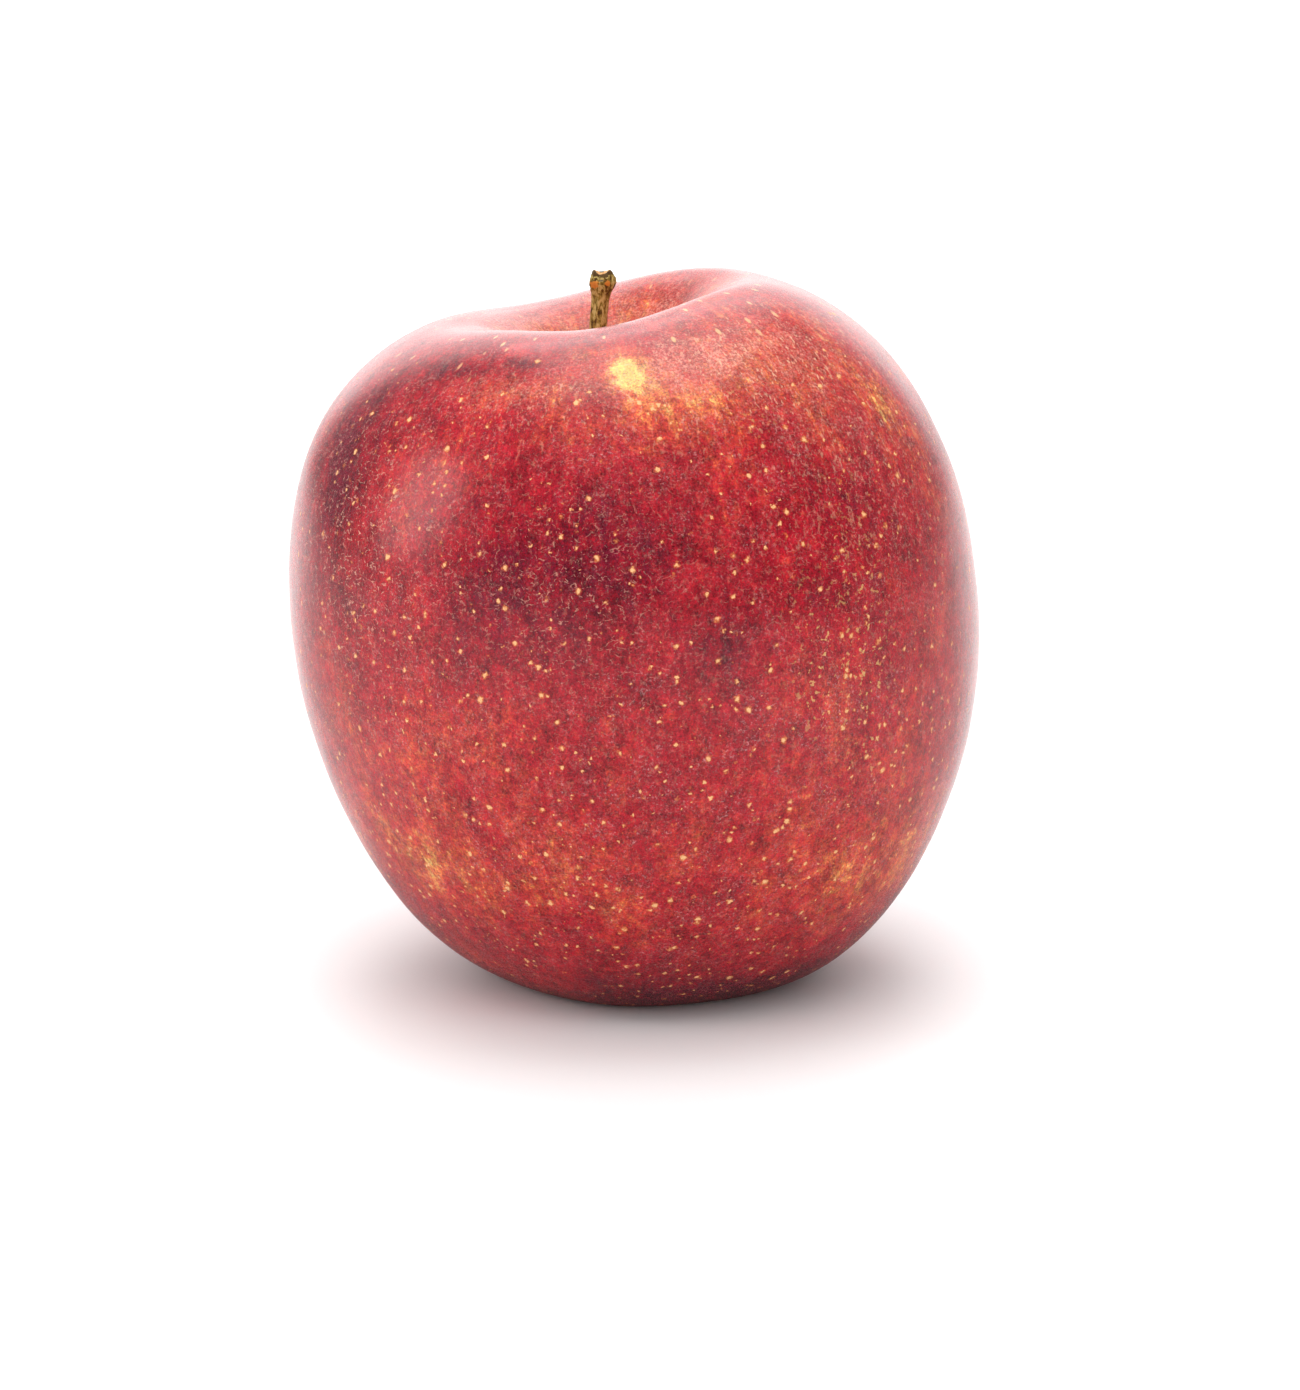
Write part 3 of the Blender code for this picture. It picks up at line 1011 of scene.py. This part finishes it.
@dataclass
class Stalk:
    """The woody stalk, standing in the cavity and broken off at a flared end."""

    growth: Growth = field(default_factory=Growth)
    bark: BarkFinish = field(default_factory=BarkFinish)
    pith: DryFinish = DryFinish("stalk_pith", (0.90, 0.66, 0.36), (0.62, 0.25, 0.06), 0.25 * MM)
    floor: float = 66.4 * MM
    stations: tuple[tuple[float, float, float], ...] = (
        (-2.5 * MM, 0.00 * MM, 1.30 * MM),
        (0.0 * MM, -0.02 * MM, 1.35 * MM),
        (2.2 * MM, -0.07 * MM, 1.15 * MM),
        (6.0 * MM, -0.10 * MM, 1.05 * MM),
        (10.2 * MM, -0.05 * MM, 1.02 * MM),
        (12.8 * MM, 0.18 * MM, 1.00 * MM),
        (14.5 * MM, 0.32 * MM, 1.20 * MM),
        (15.8 * MM, 0.42 * MM, 1.55 * MM),
        (16.9 * MM, 0.40 * MM, 1.00 * MM),
    )
    insets: tuple[tuple[float, float], ...] = (
        (0.12 * MM, 0.0),
        (0.16 * MM, 0.10 * MM),
        (0.18 * MM, 0.22 * MM),
        (0.22 * MM, 0.16 * MM),
    )
    pith_height: float = 15.5 * MM
    pith_radius: float = 0.82 * MM
    pith_offset: float = 0.4 * MM
    sides: int = 40
    rings: int = 60

    def build(self) -> bpy.types.Object:
        """Extrudes the stalk ring by ring, hollows its broken end and ribs its bark.

        Returns:
            The finished piece.
        """
        Bench.clear()
        root_x, root_y = self.growth.axis(self.floor)
        stops = smooth_curve(self.stations, self.rings)
        centre = Vector((root_x + stops[0, 1], root_y, self.floor + stops[0, 0]))
        bpy.ops.mesh.primitive_circle_add(
            vertices=self.sides, radius=float(stops[0, 2]), fill_type="NGON", location=centre
        )
        stalk = Bench.name(bpy.context.object, "apple_stalk")
        bpy.ops.object.transform_apply(location=True, rotation=False, scale=False)
        Bench.edit()
        for before, after in zip(stops[:-1], stops[1:]):
            rise = Vector((after[1] - before[1], 0.0, after[0] - before[0]))
            centre = centre + rise
            bpy.ops.mesh.extrude_region_move(TRANSFORM_OT_translate={"value": rise})
            grow = float(after[2] / before[2])
            bpy.ops.transform.resize(value=(grow, grow, grow), center_override=centre)
        for thickness, drop in self.insets:
            bpy.ops.mesh.inset(thickness=thickness)
            bpy.ops.transform.translate(value=(0.0, 0.0, -drop))
        bpy.ops.mesh.poke()
        Bench.close()
        Bench.heal(stalk)
        self.rib(stalk)
        return stalk

    def rib(self, stalk: bpy.types.Object) -> None:
        """Ribs the bark along its length and tears the broken rim.

        Args:
            stalk: The stalk's piece.
        """
        places = Bench.points(stalk)
        height = places[:, 2] - self.floor
        mid = np.interp(height, [s[0] for s in self.stations], [s[1] for s in self.stations])
        root_x, root_y = self.growth.axis(self.floor)
        out = np.column_stack([places[:, 0] - root_x - mid, places[:, 1] - root_y])
        side = np.arctan2(out[:, 1], out[:, 0])
        along = np.column_stack([np.cos(side), np.sin(side), height / (5 * MM)])
        ribs = wander(along, 0.42, 2.0) * 0.13 + wander(along * (1, 1, 4), 0.2, 5.0) * 0.06
        flare = hump(height - 15.4 * MM, 1.5 * MM)
        corners = 0.10 * flare * np.cos(3 * side + 0.7)
        places[:, :2] += out * (ribs + corners)[:, None]
        torn = np.clip((height - 15.9 * MM) / (0.8 * MM), 0.0, 1.0)
        places[:, 2] += torn * (wander(along, 0.8, 9.0) * 0.14 * MM + 0.20 * MM * np.cos(2 * side - 0.1))
        Bench.move(stalk, places)
        around = np.degrees(side)
        spots = hump(around + 125, 24) + hump(around + 62, 18)
        Bench.note(stalk, "orange", spots * hump(height - 15.65 * MM, 0.55 * MM))
        Bench.note(stalk, "ash", 0.70 * hump(around + 88, 22) * hump(height - 16.1 * MM, 0.35 * MM))
        Bench.note(stalk, "rim", 0.80 * hump(height - 16.8 * MM, 0.50 * MM))

    def dress(self, stalk: bpy.types.Object) -> None:
        """Gives the bark and the pith their finishes.

        Args:
            stalk: The stalk's piece.
        """
        stalk.data.materials.append(self.bark.material())
        stalk.data.materials.append(self.pith.material())
        root_x, root_y = self.growth.axis(self.floor)
        for face in stalk.data.polygons:
            away = math.hypot(face.center.x - root_x - self.pith_offset, face.center.y - root_y)
            inside = face.center.z > self.floor + self.pith_height and away < self.pith_radius
            face.material_index = int(inside)
        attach(stalk, "root")
        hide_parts("stem")


# ---------------------------------------------------------------- the calyx


@dataclass
class Sepal:
    """One of the five dried sepals that hang in the basin."""

    number: int
    side: float
    growth: Growth = field(default_factory=Growth)
    length: float = 5.0 * MM
    half_width: float = 1.3 * MM
    thickness: float = 0.28 * MM
    foot_radius: float = 2.2 * MM
    root_height: float = 6.1 * MM
    clearance: float = 0.7 * MM
    start_tilt: float = math.radians(-12)
    end_tilt: float = math.radians(75)

    def spine(self, count: int = 40) -> np.ndarray:
        """Curls the sepal's middle line.

        Args:
            count: How many steps it has.

        Returns:
            Its points, as radius and height.
        """
        share = (np.arange(count) + 0.5) / count
        tilt = self.start_tilt + (self.end_tilt - self.start_tilt) * share**2.2
        step = self.length / count
        radius = self.foot_radius + np.concatenate([[0.0], np.cumsum(step * np.sin(tilt))])
        height = self.root_height - np.concatenate([[0.0], np.cumsum(step * np.cos(tilt))])
        return np.column_stack([radius, height])

    def build(self) -> bpy.types.Object:
        """Curls a sheet into the sepal and gives it a thickness.

        Returns:
            The finished piece.
        """
        Bench.clear()
        bpy.ops.mesh.primitive_grid_add(x_subdivisions=18, y_subdivisions=8, size=2.0)
        sheet = Bench.name(bpy.context.object, f"apple_sepal_{self.number}")
        flat = Bench.points(sheet)
        along = (flat[:, 0] + 1) / 2
        spine = self.spine()
        steps = np.linspace(0, 1, len(spine))
        radius = np.interp(along, steps, spine[:, 0])
        height = np.interp(along, steps, spine[:, 1])
        belly = 0.72 + 0.28 * np.sin(np.pi * np.clip(along * 1.4, 0, 1))
        taper = np.sqrt(np.clip(1 - along**1.6, 0, 1)) * belly
        aside = flat[:, 1] * self.half_width * np.maximum(taper, 0.07)
        crumple = wander(np.column_stack([along * 3, flat[:, 1] * 1.2, along * 0]), 1.0, self.number * 4.3)
        radius = radius - 0.35 * MM * flat[:, 1] ** 2 + crumple * 0.45 * MM * along
        height = height + crumple * 0.25 * MM * along
        aside = aside + 0.5 * MM * along**2 * math.sin(self.number * 2.1)
        x, y = self.growth.axis(height)
        turn = math.radians(self.side)
        x = x + radius * math.cos(turn) - aside * math.sin(turn)
        y = y + radius * math.sin(turn) + aside * math.cos(turn)
        Bench.move(sheet, np.column_stack([x, y, np.maximum(height, self.clearance)]))
        Bench.apply(sheet, "SOLIDIFY", thickness=self.thickness, offset=0.0)
        Bench.apply(sheet, "SUBSURF", levels=1, render_levels=1)
        Bench.heal(sheet)
        return sheet

    def dress(self, sheet: bpy.types.Object, finish: bpy.types.Material) -> None:
        """Gives the sepal its finish and its place in the frame.

        Args:
            sheet: The sepal's piece.
            finish: The material that all five share.
        """
        sheet.data.materials.append(finish)
        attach(sheet, "root")
        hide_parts(f"sepal_{self.number}")


@dataclass
class Stamens:
    """The withered tuft of stamens inside the sepals."""

    growth: Growth = field(default_factory=Growth)
    finish: DryFinish = DryFinish("dry_stamens", (0.17, 0.10, 0.05), (0.03, 0.018, 0.01), 0.3 * MM)
    count: int = 19
    root_height: float = 6.6 * MM
    length: float = 3.3 * MM
    thread: float = 0.11 * MM

    def build(self) -> bpy.types.Object:
        """Grows the threads one by one, each with a shrivelled head, and joins them.

        Returns:
            The finished piece.
        """
        draw = np.random.default_rng(7)
        threads = []
        for index in range(self.count):
            threads.append(self.thread_at(index, draw))
        Bench.take(threads[0])
        for thread in threads:
            thread.select_set(True)
        bpy.ops.object.join()
        tuft = Bench.name(bpy.context.object, "apple_stamens")
        Bench.heal(tuft)
        return tuft

    def thread_at(self, index: int, draw: np.random.Generator) -> bpy.types.Object:
        """Makes one thread with its head.

        Args:
            index: Its number.
            draw: The source of chance.

        Returns:
            The thread.
        """
        Bench.clear()
        turn = index * 2.4
        spread = 0.35 * MM * math.sqrt(index)
        lean = 0.25 * math.sqrt(index / self.count)
        x, y = self.growth.axis(self.root_height)
        centre = Vector((x + spread * math.cos(turn), y + spread * math.sin(turn), self.root_height))
        bpy.ops.mesh.primitive_circle_add(vertices=6, radius=self.thread, fill_type="NGON", location=centre)
        thread = bpy.context.object
        bpy.ops.object.transform_apply(location=True, rotation=False, scale=False)
        Bench.edit()
        steps = 6
        reach = self.length * draw.uniform(0.75, 1.05)
        for step in range(steps):
            bend = draw.uniform(-0.18, 0.18, 2)
            rise = Vector((lean * math.cos(turn) + bend[0], lean * math.sin(turn) + bend[1], -1.0))
            rise = rise.normalized() * (reach / steps)
            centre = centre + rise
            bpy.ops.mesh.extrude_region_move(TRANSFORM_OT_translate={"value": rise})
            if step >= steps - 2:
                swell = 1.9 if step == steps - 2 else 0.55
                bpy.ops.transform.resize(value=(swell, swell, swell), center_override=centre)
        Bench.close()
        Bench.apply(thread, "SUBSURF", levels=1, render_levels=1)
        return thread

    def dress(self, tuft: bpy.types.Object) -> None:
        """Gives the tuft its finish and its place in the frame.

        Args:
            tuft: The tuft's piece.
        """
        tuft.data.materials.append(self.finish.material())
        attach(tuft, "root")
        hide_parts("dried_stamens")


# ---------------------------------------------------------------- the studio


@dataclass(frozen=True)
class Softbox:
    """A soft lamp, by its direction from the fruit, its distance, its size and its brightness."""

    name: str
    side: float
    rise: float
    distance: float
    width: float
    height: float
    brightness: float
    reflected: bool = True

    def hang(self, target: Vector) -> None:
        """Hangs the lamp so that it faces the fruit.

        Args:
            target: The place that it faces.
        """
        lamp = bpy.data.lights.new(self.name, "AREA")
        lamp.shape = "RECTANGLE"
        lamp.size, lamp.size_y = self.width, self.height
        lamp.energy = math.pi * self.width * self.height * self.brightness
        hung = bpy.data.objects.new(self.name, lamp)
        bpy.context.scene.collection.objects.link(hung)
        side, rise = math.radians(self.side), math.radians(self.rise)
        away = Vector((math.cos(side) * math.cos(rise), math.sin(side) * math.cos(rise), math.sin(rise)))
        hung.location = target + away * self.distance
        hung.visible_glossy = self.reflected
        hung.rotation_euler = away.to_track_quat("Z", "Y").to_euler()


@dataclass
class Studio:
    """White floor, soft lamps and the camera.

    Attributes:
        target: The middle of the fruit, which the lamps face.
        distance: How far the camera stands from it.
        rise: How far the camera looks down.
        aim_offset: How far beside and above the target the camera aims.
        focal_length: The camera's focal length, in millimetres, as is its sensor's height.
        floor_colour: The floor's colour.
        floor_painted_shade: Its colour close to the fruit, in the fruit's gloss only: painted shade, darker
            than the floor.
        floor_reach: Where that dimness starts to fade and where it has gone.
        floor_shine: How much it glows beside the fruit, in the fruit's gloss only, as a painted glow.
        floor_painted_glow: Where its painted glow to the camera starts, where it is full, and how much.
        room: The brightness of the room.
        dark_front: Its brightness behind the camera.
        backdrop: What the room's far end adds to it.
        background: Its brightness to the camera.
    """

    target: Vector = field(default_factory=lambda: Vector((0.36 * MM, 0.1 * MM, 39.7 * MM)))
    distance: float = 620 * MM
    rise: float = math.radians(12.87)
    aim_offset: tuple[float, float] = (1.46320 * MM, -6.37956 * MM)
    focal_length: float = 137.1781
    sensor: float = 36.0
    floor_size: float = 8.0
    floor_colour: Colour = (0.93, 0.93, 0.93)
    floor_painted_shade: Colour = (0.42, 0.42, 0.42)
    floor_reach: tuple[float, float] = (40 * MM, 95 * MM)
    floor_shine: float = 0.5
    floor_painted_glow: tuple[float, float, float] = (150 * MM, 700 * MM, 0.5)
    room: float = 0.4
    dark_front: float = 0.01
    backdrop: float = 1.8
    background: float = 1.05
    softboxes: tuple[Softbox, ...] = (
        Softbox("overhead_softbox", 90, 70, 0.9, 0.6, 1.0, 2.3),
        Softbox("left_softbox", -172, 20, 1.0, 0.34, 0.50, 3.5),
        Softbox("front_fill", -88, 32, 1.3, 2.6, 1.6, 1.15, False),
        Softbox("overhead_fill", -90, 75, 1.2, 1.2, 1.2, 1.9, False),
    )

    def floor(self) -> bpy.types.Object:
        """Lays the pale floor.

        In the fruit's gloss it has painted shade close by and a painted glow beside the fruit. Seen by the
        camera it is evenly pale close by, and a painted glow takes it into the white room far away.

        Returns:
            The floor.
        """
        Bench.clear()
        bpy.ops.mesh.primitive_plane_add(size=self.floor_size)
        floor = Bench.name(bpy.context.object, "studio_floor")
        r = Recipe("studio_floor")
        place = r.node("SeparateXYZ", {"Vector": r.object_places()})
        aside = r.sum(Step.SIZE, place.outputs["X"])
        away = r.sum(Step.ADD, aside, r.sum(Step.LARGEST, place.outputs["Y"], 0.0))
        behind = r.sum(Step.TIMES_AND_ADD, aside, -0.9, place.outputs["Y"])
        lit = r.span(behind, -40 * MM, 60 * MM, 0.35, 1.0)
        beside = r.times(r.span(away, *self.floor_reach), lit)
        path = r.node("LightPath")
        mirrored = path.outputs["Is Glossy Ray"]
        near, far, glow = self.floor_painted_glow
        # Painted glow: to the camera the floor glows more the farther it lies from the fruit.
        painted_glow_far = r.times(path.outputs["Is Camera Ray"], r.span(away, near, far, 0.0, glow))
        # Painted shade and glow in the fruit's gloss: darker close by, glowing beside the fruit.
        painted_shade_near = r.lay(beside, self.floor_painted_shade, self.floor_colour)
        glowing = r.sum(Step.TIMES_AND_ADD, r.times(mirrored, beside), self.floor_shine, painted_glow_far)
        r.set(
            Base_Color=r.lay(mirrored, self.floor_colour, painted_shade_near),
            Roughness=0.7,
            Specular_IOR_Level=0.2,
            Emission_Color=(1.0, 1.0, 1.0, 1.0),
            Emission_Strength=glowing,
        )
        floor.data.materials.append(r.material)
        return floor

    def light(self) -> None:
        """Hangs the softboxes in a white room that is dark behind the camera."""
        for softbox in self.softboxes:
            softbox.hang(self.target)
        r = Recipe("white_room", world=True)
        bpy.context.scene.world = r.material
        direction = r.node("TexCoord").outputs["Generated"]
        lit_room = (self.room, self.room + self.backdrop)
        bright = self.glow(r, direction, (0.0, 1.0, 0.33), (0.78, 0.91), lit_room)
        dark = self.glow(r, direction, (0.12, -0.93, 0.35), (0.25, 0.75), (0.0, 1.0))
        shade = r.node("Mix", {0: dark, 2: bright, 3: self.dark_front})
        seen = r.node("LightPath").outputs["Is Camera Ray"]
        shown = r.node("Mix", {0: seen, 2: shade.outputs[0], 3: self.background})
        r.set(Color=(1.0, 1.0, 1.0, 1.0), Strength=shown.outputs[0])
        bpy.context.scene.view_settings.view_transform = "Standard"

    @staticmethod
    def glow(
        r: Recipe,
        direction: Socket,
        towards: Sequence[float],
        between: tuple[float, float],
        values: tuple[float, float],
    ) -> Socket:
        """A part of the room that glows, fading with the angle from its middle.

        Args:
            r: The world in the making.
            direction: The direction looked in.
            towards: The direction of the glow's middle.
            between: The cosines between which it fades.
            values: The value outside it and at its middle.

        Returns:
            The value in the direction looked in.
        """
        middle = Vector(towards).normalized()
        turn = r.node("VectorMath", {0: direction, 1: middle}, operation="DOT_PRODUCT")
        return r.span(turn.outputs["Value"], *between, *values)

    def camera(self) -> None:
        """Sets up the camera, looking slightly down at the fruit."""
        back = Vector((0.0, -math.cos(self.rise), math.sin(self.rise)))
        up = Vector((0.0, math.sin(self.rise), math.cos(self.rise)))
        spot = self.target + back * self.distance
        aside, above = self.aim_offset
        aim = self.target + Vector((aside, 0, 0)) + up * above
        lens = bpy.data.cameras.new("camera")
        lens.sensor_fit = "VERTICAL"
        lens.sensor_height = self.sensor
        lens.lens = self.focal_length
        lens.clip_start = 0.01
        lens.clip_end = 20.0
        camera = bpy.data.objects.new("camera", lens)
        bpy.context.scene.collection.objects.link(camera)
        turn = (spot - aim).to_track_quat("Z", "Y").to_matrix().to_4x4()
        camera.matrix_world = Matrix.Translation(spot) @ turn
        bpy.context.scene.camera = camera


# ---------------------------------------------------------------- the apple


def report(piece: bpy.types.Object) -> None:
    """Reports a finished piece's size through the log."""
    LOG.info("%s: %d points, %d faces", piece.name, len(piece.data.vertices), len(piece.data.polygons))


def build_apple() -> None:
    """Builds and dresses every piece of the apple."""
    fruit = Fruit()
    skin = fruit.build()
    fruit.dress(skin)
    report(skin)

    stalk = Stalk()
    wood = stalk.build()
    stalk.dress(wood)
    report(wood)

    leaf = DryFinish("dry_sepal", (0.34, 0.27, 0.17), (0.12, 0.075, 0.04), 0.5 * MM, 0.3).material()
    for index, lobe in enumerate(Growth().lobes):
        sepal = Sepal(number=index + 1, side=lobe.side + 36)
        sheet = sepal.build()
        sepal.dress(sheet, leaf)
        report(sheet)

    stamens = Stamens()
    tuft = stamens.build()
    stamens.dress(tuft)
    report(tuft)


def main() -> None:
    """Builds the apple in its studio."""
    logging.basicConfig(level=logging.INFO, format="%(name)s: %(message)s")
    studio = Studio()
    studio.camera()
    studio.floor()
    studio.light()
    build_apple()


def plain(box: Iterable[Iterable[float]]) -> list[list[float]]:
    """A box as plain lists of numbers."""
    return [[float(number) for number in corner] for corner in box]


if __name__ == "__main__":
    main()
